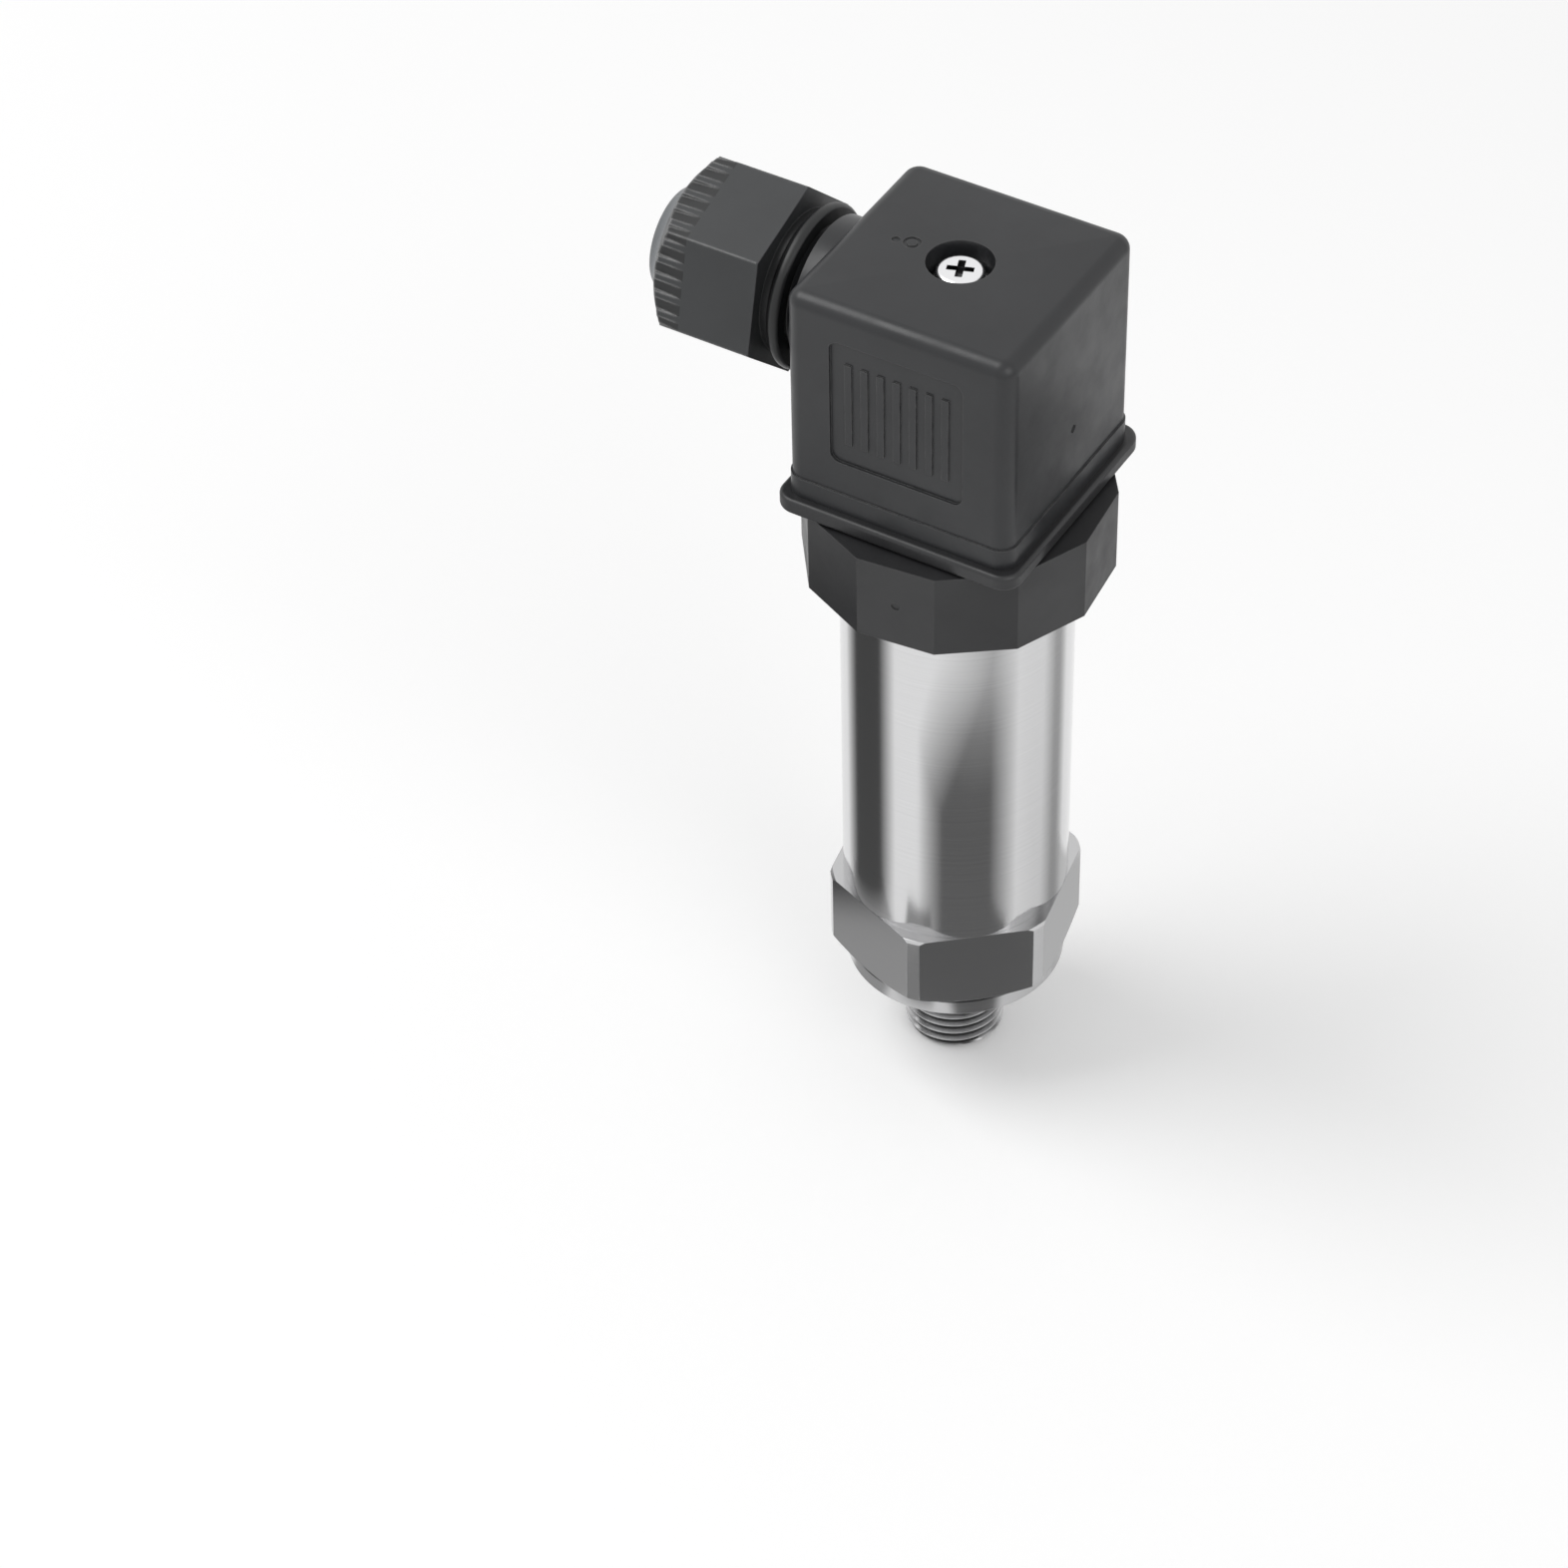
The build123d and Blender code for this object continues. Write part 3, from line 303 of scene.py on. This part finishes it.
finishes = {
    "process_fitting": fitting_steel, "housing_tube": tube_steel, "sensor_capsule": inner_steel,
    "capsule_seal": seal_rubber, "capsule_lock_ring": inner_steel, "sensor_pins": brass,
    "sensor_leads": wire_jacket, "connector_base": nut_plastic, "base_retaining_ring": spring_steel,
    "base_seal": seal_rubber, "contact_blade_1": tinned, "contact_blade_2": tinned,
    "contact_blade_3": tinned, "ground_blade": tinned, "screw_insert": brass,
    "flat_gasket": gasket_rubber, "circuit_board": lacquer, "board_components": component_case,
    "connector_leads": wire_jacket, "union_nut": nut_plastic, "plug_housing": housing_plastic,
    "terminal_carrier": carrier_plastic, "socket_contacts": tinned, "terminal_screws": zinc,
    "gland_seal": seal_rubber, "screw_washer": zinc, "plug_screw": screw_zinc,
    "gland_slip_ring": carrier_plastic, "gland_nut": gland_plastic,
}
for name, node in nodes.items():
    for material_slot in node.material_slots:
        material_slot.material = finishes[name]


# Finer forms, each made in a copy of the piece that carries it

def copied(node_name):
    bm = bmesh.new()
    bm.from_mesh(nodes[node_name].data)
    bmesh.ops.remove_doubles(bm, verts=bm.verts, dist=0.0005 * MM)
    return bm


def put_in_place(node_name, body, bm, what):
    """Turns the changed copy into the object that is shown for its node."""
    bmesh.ops.dissolve_degenerate(bm, edges=bm.edges, dist=0.001 * MM)
    bmesh.ops.recalc_face_normals(bm, faces=bm.faces)
    for face in bm.faces:
        face.smooth = True
    for edge in bm.edges:
        edge.smooth = len(edge.link_faces) == 2 and edge.calc_face_angle() < math.radians(24)
    open_edges = sum(len(e.link_faces) != 2 for e in bm.edges)
    mesh = bpy.data.meshes.new(node_name + "_" + what)
    bm.to_mesh(mesh)
    bm.free()
    print(node_name, what, len(mesh.polygons), "faces,", open_edges, "open edges")
    if "custom_normal" in mesh.attributes:
        mesh.attributes.remove(mesh.attributes["custom_normal"])
    mesh.materials.clear()
    mesh.materials.append(finishes[node_name])
    piece = bpy.data.objects.new(node_name + "_" + what, mesh)
    bpy.context.scene.collection.objects.link(piece)
    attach(piece, body)
    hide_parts(node_name)
    return piece


# Crest, flank, root and flank of a thread, as (share of the pitch, share of the depth)
THREAD_FORM = ((0.0, 0.0), (0.125, 0.0), (0.281, 0.5), (0.4375, 1.0), (0.6875, 1.0), (0.844, 0.5))


def threaded(node_name, body, centre, axis, radius, pitch, depth, low, high):
    """Copies a node and cuts a right-hand thread between two levels along an axis, in millimetres.

    low and high are (level, radius of the piece's edge there).
    """
    axis = Vector(axis)
    across = axis.orthogonal().normalized()
    other = axis.cross(across)
    centre = Vector(centre) * MM
    (z0, r0), (z1, r1) = low, high
    near = 0.02

    def reading(point):
        """Level, radius and angle of a point."""
        p = point - centre
        u, v = p.dot(across), p.dot(other)
        return p.dot(axis) / MM, math.hypot(u, v) / MM, math.atan2(v, u)

    def on_the_cylinder(face):
        read = [reading(v.co) for v in face.verts]
        between = all(z0 - near <= z <= z1 + near for z, _, _ in read)
        within = all(min(r0, r1) - near <= r <= radius + near for _, r, _ in read)
        return between and within and abs(face.normal.dot(axis)) < 0.9

    bm = copied(node_name)
    bmesh.ops.delete(bm, geom=[f for f in bm.faces if on_the_cylinder(f)], context="FACES")
    read = [reading(v.co) for v in bm.verts]
    ring = sorted(a for z, r, a in read if abs(z - z1) < near and abs(r - r1) < near)
    angles = [a for i, a in enumerate(ring) if i == 0 or a - ring[i - 1] > 1e-4]
    columns = angles + [angles[0] + 2 * math.pi]
    rows = []
    turn = math.floor(z0 / pitch) - 1
    while turn * pitch < z1:
        rows += [(turn * pitch + share * pitch, radius - part * depth) for share, part in THREAD_FORM]
        turn += 1
    grid = []
    for angle in columns:
        side = across * math.cos(angle) + other * math.sin(angle)
        column = []
        for level, r in rows:
            z = level + pitch * (angle - columns[0]) / (2 * math.pi)
            if z <= z0 or z >= z1:
                z, r = (z0, r0) if z <= z0 else (z1, r1)
            else:
                r = min(r, r0 + (z - z0) if r0 < radius else r, r1 + (z1 - z) if r1 < radius else r)
            column.append(bm.verts.new(centre + axis * z * MM + side * r * MM))
        grid.append(column)
    for one, two in zip(grid, grid[1:]):
        for i in range(len(rows) - 1):
            bm.faces.new((one[i], two[i], two[i + 1], one[i + 1]))
    bmesh.ops.remove_doubles(bm, verts=bm.verts, dist=0.003 * MM)
    put_in_place(node_name, body, bm, "threaded")


threaded("process_fitting", "transmitter_body", (0, 0, 0), (0, 0, 1),
         radius=6.0, pitch=1.25, depth=0.767, low=(-14.0, 5.0), high=(-2.4, 5.0))
threaded("housing_tube", "transmitter_body", (0, 0, 0), (0, 0, 1),
         radius=14.25, pitch=1.5, depth=0.6, low=(63.4, 13.85), high=(69.6, 13.85))
threaded("plug_housing", "plug", (0, 0, GLAND_AXIS_Z), (-1, 0, 0),
         radius=7.6, pitch=1.5, depth=0.5, low=(16.4, 7.6), high=(27.0, 7.6))


def sharp_union_nut():
    """The union nut with its flats running out to crisp corners, as in the photograph."""
    flats, bevel = 12, 0.31 * MM
    bm = copied("union_nut")
    sides = [f for f in bm.faces if abs(f.normal.z) < 0.01]

    def distance(face):
        return face.calc_center_median().dot(face.normal)

    apothem = max(distance(f) for f in sides)
    widest = max((f for f in sides if distance(f) > apothem - 0.01 * MM), key=lambda f: f.calc_area())
    start = math.atan2(widest.normal.y, widest.normal.x)
    step = 2 * math.pi / flats
    low, high = min(v.co.z for v in bm.verts), max(v.co.z for v in bm.verts)
    for v in bm.verts:
        radius, angle = math.hypot(v.co.x, v.co.y), math.atan2(v.co.y, v.co.x)
        if radius > apothem - 0.001 * MM and min(v.co.z - low, high - v.co.z) < bevel:
            off = (angle - start + step / 2) % step - step / 2
            reach = apothem / math.cos(off)
            level = low if v.co.z - low < high - v.co.z else high
            v.co = (reach * math.cos(angle), reach * math.sin(angle), level)
    bmesh.ops.remove_doubles(bm, verts=bm.verts, dist=0.003 * MM)
    put_in_place("union_nut", "union_nut", bm, "sharp")


sharp_union_nut()


def draw_in_collar(bm):
    """Turns the gland nut's plain collar into a neck behind the hexagon with a round lip."""
    hexagon_x, collar_r, near = -20.47, 9.65, 0.03
    # Distance from the hexagon and radius
    outline = (
        (0.0, 8.4), (0.9, 8.4), (1.1, 8.55), (1.3, 8.85), (1.5, 9.2), (1.7, 9.45), (1.9, 9.6), (2.15, 9.65),
        (2.5, 9.6), (2.75, 9.45), (2.9, 9.25),
    )

    def radius(v):
        return math.hypot(v.co.y / MM, v.co.z / MM - GLAND_AXIS_Z)

    def on_collar(v):
        return abs(radius(v) - collar_r) < near and v.co.x / MM > hexagon_x - 0.01

    def side():
        return [f for f in bm.faces if all(on_collar(v) for v in f.verts)]

    for distance, _ in outline[1:-1]:
        faces = side()
        edges = dict.fromkeys(e for f in faces for e in f.edges)
        verts = dict.fromkeys(v for f in faces for v in f.verts)
        bmesh.ops.bisect_plane(bm, geom=[*faces, *edges, *verts],
                               plane_co=((hexagon_x + distance) * MM, 0, 0), plane_no=(1, 0, 0))
    for v in dict.fromkeys(v for f in side() for v in f.verts):
        along = v.co.x / MM - hexagon_x
        (x0, r0), (x1, r1) = next((a, b) for a, b in zip(outline, outline[1:]) if along <= b[0] + 0.01)
        scale = (r0 + (r1 - r0) * (along - x0) / (x1 - x0)) / radius(v)
        v.co.y *= scale
        v.co.z = (GLAND_AXIS_Z + (v.co.z / MM - GLAND_AXIS_Z) * scale) * MM


def widen_ribs(bm):
    """Moves the two sides of each grip rib apart, on the gland nut's six flats."""
    front_x, back_x = -36.3, -29.5
    flats, first_angle, apothem, groove_depth = 6, 106.9, 9.864, 1.3
    outer_rib, rib_pitch, old_half, new_half, near = 2, 2.15, 0.25, 0.42, 0.02
    for v in bm.verts:
        x, y, z = v.co.x / MM, v.co.y / MM, v.co.z / MM - GLAND_AXIS_Z
        if not front_x < x < back_x:
            continue
        for flat in range(flats):
            angle = math.radians(first_angle + 360 / flats * flat)
            out = y * math.cos(angle) + z * math.sin(angle)
            across = z * math.cos(angle) - y * math.sin(angle)
            middle = rib_pitch * max(-outer_rib, min(outer_rib, round(across / rib_pitch)))
            if out > apothem - groove_depth and abs(abs(across - middle) - old_half) < near:
                moved = middle + math.copysign(new_half, across - middle)
                v.co.y = (out * math.cos(angle) - moved * math.sin(angle)) * MM
                v.co.z = (GLAND_AXIS_Z + out * math.sin(angle) + moved * math.cos(angle)) * MM
                break


def mark_shaded_recesses(piece):
    """Writes which faces are the floors of the grooves between the ribs, where the gland's material paints
    shade.
    """
    front_x, back_x, inner_r = -34, -29.6, 8.5
    least_tilt, most_tilt = -0.2, -0.04
    recess_shade = piece.data.attributes.new("recess_shade", "FLOAT", "FACE")
    for polygon, value in zip(piece.data.polygons, recess_shade.data):
        x, y, z = polygon.center / MM
        out = math.hypot(y, z - GLAND_AXIS_Z)
        floor = front_x < x < back_x and out > inner_r and least_tilt < polygon.normal.x < most_tilt
        value.value = float(floor)


gland_nut = copied("gland_nut")
draw_in_collar(gland_nut)
widen_ribs(gland_nut)
mark_shaded_recesses(put_in_place("gland_nut", "gland_nut", gland_nut, "finer"))


# Floor, cards, backdrop, lamps and camera

FLOOR_Z = -14.02
FLOOR_HALF = 3000
CARD_TOP_Z = 75


def stage_mesh(name, corners, material):
    mesh = bpy.data.meshes.new(name)
    mesh.from_pydata([Vector(c) * MM for c in corners], [], [tuple(range(len(corners)))])
    mesh.materials.append(material)
    obj = bpy.data.objects.new(name, mesh)
    bpy.context.scene.collection.objects.link(obj)
    return obj


def level_square(centre, half, z):
    x, y = centre
    return [(x - half, y - half, z), (x + half, y - half, z), (x + half, y + half, z), (x - half, y + half, z)]


def seen_directly(tree):
    """1 for the camera's rays and for those of reflections and glass, otherwise 0."""
    path = tree.nodes.new("ShaderNodeLightPath")
    seen = path.outputs["Is Camera Ray"]
    for ray in ("Is Glossy Ray", "Is Transmission Ray"):
        both = tree.nodes.new("ShaderNodeMath")
        both.operation = "MAXIMUM"
        tree.links.new(seen, both.inputs[0])
        tree.links.new(path.outputs[ray], both.inputs[1])
        seen = both.outputs[0]
    return seen


def paper_floor():
    """Pale paper that looks white and still takes the part's shadow."""
    s = Shader("floor_white", 0.0, 0.9)
    s.bsdf.inputs["Base Color"].default_value = (0.96, 0.96, 0.96, 1)
    s.bsdf.inputs["Specular IOR Level"].default_value = 0.0
    s.bsdf.inputs["Emission Color"].default_value = (1, 1, 1, 1)
    lift = s.add("ShaderNodeMath", operation="MULTIPLY")
    s.link(seen_directly(s.tree), lift.inputs[0])
    lift.inputs[1].default_value = 0.11
    s.link(lift.outputs[0], s.bsdf.inputs["Emission Strength"])
    return s.material


stage_mesh("floor", level_square((0, 0), FLOOR_HALF, FLOOR_Z), paper_floor())


def card(name, corners, tones, left, right, top, lean=0.0):
    """A glowing card beside the part that only reflections show: a painted reflection, whose grey comes from
    its own tones and not from the lamps.

    tones are (share of its height, brightness) stops. left, right and top are where its edges start and
    end to fade, and with lean the left one moves in with the height.
    """
    s = Shader(name, 0.0, 0.9)
    uv = s.apart(s.add("ShaderNodeTexCoord").outputs["UV"])
    shade = s.add("ShaderNodeValToRGB")
    while len(shade.color_ramp.elements) < len(tones):
        shade.color_ramp.elements.new(0.5)
    for stop, (height, grey) in zip(shade.color_ramp.elements, tones):
        stop.position = height
        stop.color = (grey, grey, grey, 1)
    s.link(uv["Y"], shade.inputs["Fac"])
    leaning = s.times_plus(s.spread(uv["Y"], 0.0, 1.0, 0.33, 0.66), -lean, uv["X"])
    sides = s.add("ShaderNodeMath", operation="MINIMUM")
    s.link(s.spread(leaning, 0.0, 1.0, *left), sides.inputs[0])
    s.link(s.spread(uv["X"], 1.0, 0.0, *right), sides.inputs[1])
    inside = s.times(sides.outputs[0], s.spread(uv["Y"], 1.0, 0.0, *top))
    glow = s.add("ShaderNodeEmission")
    s.link(shade.outputs["Color"], glow.inputs["Color"])
    mix = s.add("ShaderNodeMixShader")
    s.link(inside, mix.inputs["Fac"])
    s.link(s.add("ShaderNodeBsdfTransparent").outputs[0], mix.inputs[1])
    s.link(glow.outputs[0], mix.inputs[2])
    s.link(mix.outputs[0], s.output.inputs["Surface"])
    s.tree.nodes.remove(s.bsdf)
    obj = stage_mesh(name, corners, s.material)
    layer = obj.data.uv_layers.new(name="UVMap")
    for loop, place in zip(layer.data, ((0, 0), (1, 0), (1, 1), (0, 1))):
        loop.uv = place
    obj.visible_camera = obj.visible_diffuse = obj.visible_shadow = False
    obj.visible_transmission = obj.visible_volume_scatter = False


def standing_card(name, start, end, tones, left, right, lean=0.0):
    foot = [(*start, FLOOR_Z), (*end, FLOOR_Z)]
    head = [(*end, CARD_TOP_Z), (*start, CARD_TOP_Z)]
    card(name, foot + head, tones, left, right, (0.68, 1.0), lean)


def lying_card(name, centre, half, grey, z=FLOOR_Z + 0.3):
    corners = level_square(centre, half, z)
    card(name, corners, ((0.0, grey), (1.0, grey)), (0.0, 0.1), (0.9, 1.0), (0.9, 1.0))


# Glowing cards seen only in reflections: painted reflections of dark and grey surroundings
standing_card("card_left", (-34.0, -1.0), (-15.5, -35.0), ((0.0, 0.42), (0.05, 0.4), (0.12, 0.08), (1.0, 0.07)),
              left=(0.0, 0.33), right=(0.74, 1.0))
standing_card("card_right", (-4.7, -47.9), (33.0, -5.0),
              ((0.0, 0.15), (0.33, 0.14), (0.41, 0.15), (0.51, 0.25), (0.62, 0.5)),
              left=(0.04, 0.4), right=(0.74, 0.99), lean=0.38)
standing_card("card_back", (32.0, 10.0), (21.0, 29.0), ((0.0, 0.34), (0.6, 0.45)),
              left=(0.0, 0.4), right=(0.6, 1.0))
lying_card("card_under_left", (-26.0, -20.0), 15, 0.42)
lying_card("card_under_corner", (-2.0, -35.0), 9, 0.3)
lying_card("card_under_front", (26.0, -25.0), 15, 0.17)
lying_card("card_under_back", (18.0, 25.0), 12, 0.6)
lying_card("card_over", (41.0, 17.0), 15, 0.06, z=62)

# The backdrop is white for the camera and in reflections, and lights the part a little less
world = bpy.data.worlds.new("studio")
bpy.context.scene.world = world
world.use_nodes = True
backdrop = world.node_tree
background = backdrop.nodes["Background"]
background.inputs["Color"].default_value = (1, 1, 1, 1)
strength = backdrop.nodes.new("ShaderNodeMapRange")
strength.inputs["To Min"].default_value = 0.54
strength.inputs["To Max"].default_value = 1.0
backdrop.links.new(seen_directly(backdrop), strength.inputs["Value"])
backdrop.links.new(strength.outputs["Result"], background.inputs["Strength"])


def lamp(name, place, target, size, watts):
    data = bpy.data.lights.new(name, "AREA")
    data.shape = "DISK"
    data.size = size
    data.energy = watts
    obj = bpy.data.objects.new(name, data)
    bpy.context.scene.collection.objects.link(obj)
    obj.location = place
    obj.rotation_mode = "QUATERNION"
    obj.rotation_quaternion = (Vector(target) - Vector(place)).to_track_quat("-Z", "Y")


middle = (0, 0, 0.05)
lamp("key", (-0.55, -0.25, 0.95), middle, 0.7, 4.8)
lamp("fill", (0.75, -0.35, 0.6), middle, 0.7, 1.9)

# The photograph's viewing angle, fitted from edges of the object in it
azimuth, elevation, roll = math.radians(32.083), math.radians(43.461), math.radians(-1.468)
camera_place = Vector((0.20524, -0.36576, 0.42319))
focal_pixels, picture_pixels, sensor_mm = 4895.0, 1572.0, 36.0
back = Vector((math.sin(azimuth) * math.cos(elevation), -math.cos(azimuth) * math.cos(elevation),
               math.sin(elevation)))
right = Vector((math.cos(azimuth), math.sin(azimuth), 0))
up = back.cross(right)
tilted_right = math.cos(roll) * right + math.sin(roll) * up
tilted_up = -math.sin(roll) * right + math.cos(roll) * up
camera_data = bpy.data.cameras.new("camera")
camera_data.sensor_width = sensor_mm
camera_data.lens = focal_pixels / picture_pixels * sensor_mm
camera_data.clip_start = 0.01
camera_data.clip_end = 20.0
camera = bpy.data.objects.new("camera", camera_data)
bpy.context.scene.collection.objects.link(camera)
camera_pose = Matrix((tilted_right, tilted_up, back)).transposed().to_4x4()
camera_pose.translation = camera_place
camera.matrix_world = camera_pose
bpy.context.scene.camera = camera
bpy.context.scene.view_settings.view_transform = "Standard"
